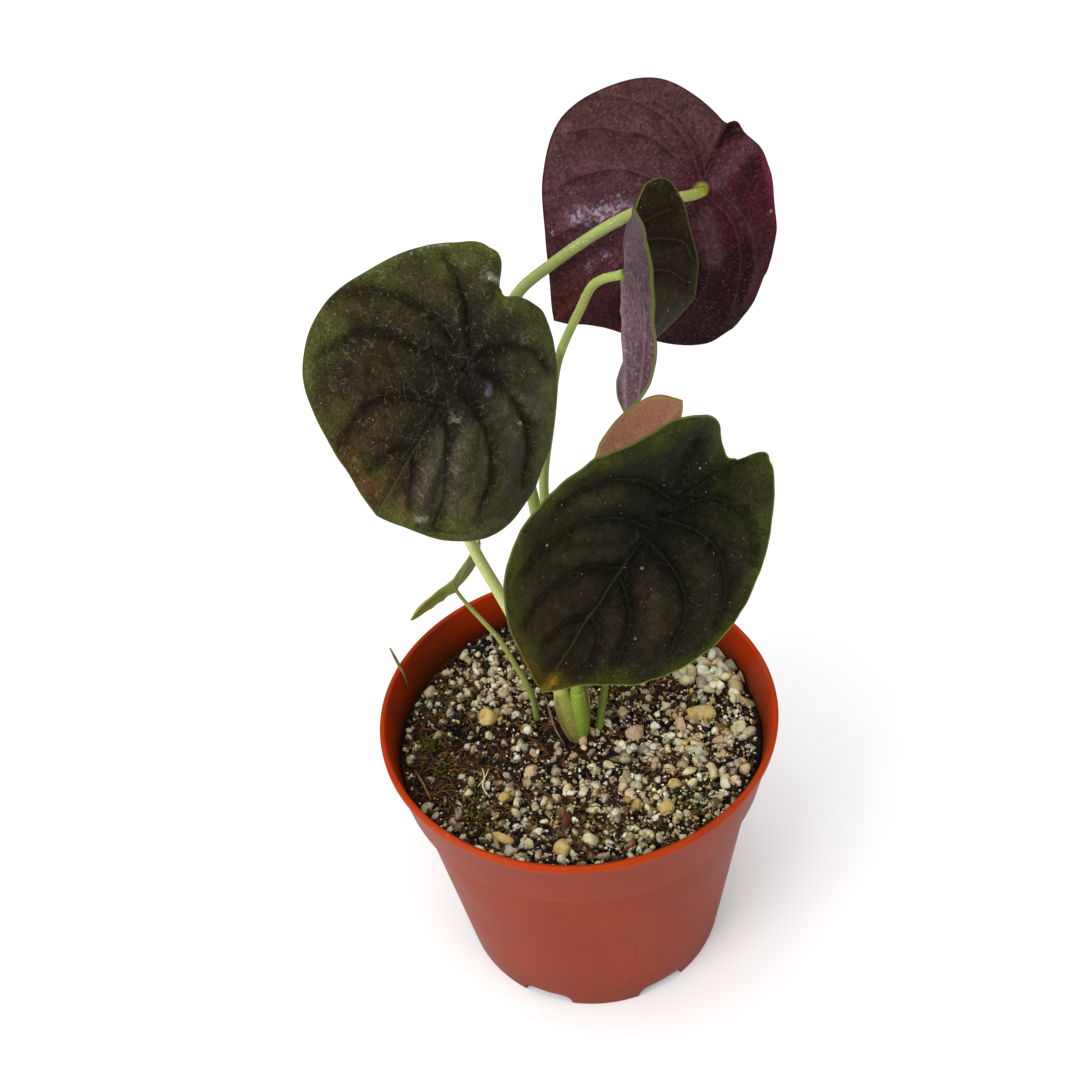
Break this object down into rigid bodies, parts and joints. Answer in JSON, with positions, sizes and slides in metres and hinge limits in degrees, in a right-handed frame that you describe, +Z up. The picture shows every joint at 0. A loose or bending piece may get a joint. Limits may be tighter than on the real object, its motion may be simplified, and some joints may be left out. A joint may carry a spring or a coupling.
{
  "type": "potted plant",
  "caption": "Small potted foliage plant: dark shield-shaped leaves with maroon undersides on slender green stalks, growing from a filled round nursery pot that stands on its flat base.",
  "frame": {"origin": "on the pot's axis, in the plane that the pot stands on", "axes": "+Z up along the pot's axis; -Y towards the side that the picture shows, where the front leaf is; +X to that viewer's right"},
  "size_m": [0.1258, 0.1199, 0.2648],
  "materials": {
    "pot_plastic": "terracotta-coloured moulded plastic, satin, with faint moulding lines and smudges",
    "potting_mix": "rough dark peat and bark with cream pumice grains",
    "green_stalk": "yellow-green living stalk, satin, finely speckled",
    "left_leaf": "dark olive-brown green, quilted, satin, greener at the margin",
    "front_leaf": "very dark bronze-green, quilted, satin, with a thin pale margin",
    "back_leaf": "maroon-purple underside with raised veins; dark green upper side",
    "folded_leaf": "mauve-grey underside with a yellow-green margin; dark green upper side",
    "young_leaf": "soft copper-pink with a yellowish margin, satin",
    "seedling_leaf": "olive green, satin"
  },
  "bodies": {
    "root": {"pot": "pot_plastic", "potting_mix": "potting_mix", "stem_base": "green_stalk", "left_leaf_stalk": "green_stalk", "left_leaf_blade": "left_leaf", "front_leaf_stalk": "green_stalk", "front_leaf_blade": "front_leaf", "back_leaf_stalk": "green_stalk", "back_leaf_blade": "back_leaf", "folded_leaf_stalk": "green_stalk", "folded_leaf_blade": "folded_leaf", "young_leaf_stalk": "green_stalk", "young_leaf_blade": "young_leaf", "seedling_leaf_stalk": "green_stalk", "seedling_leaf_blade": "seedling_leaf"}
  },
  "joints": []
}
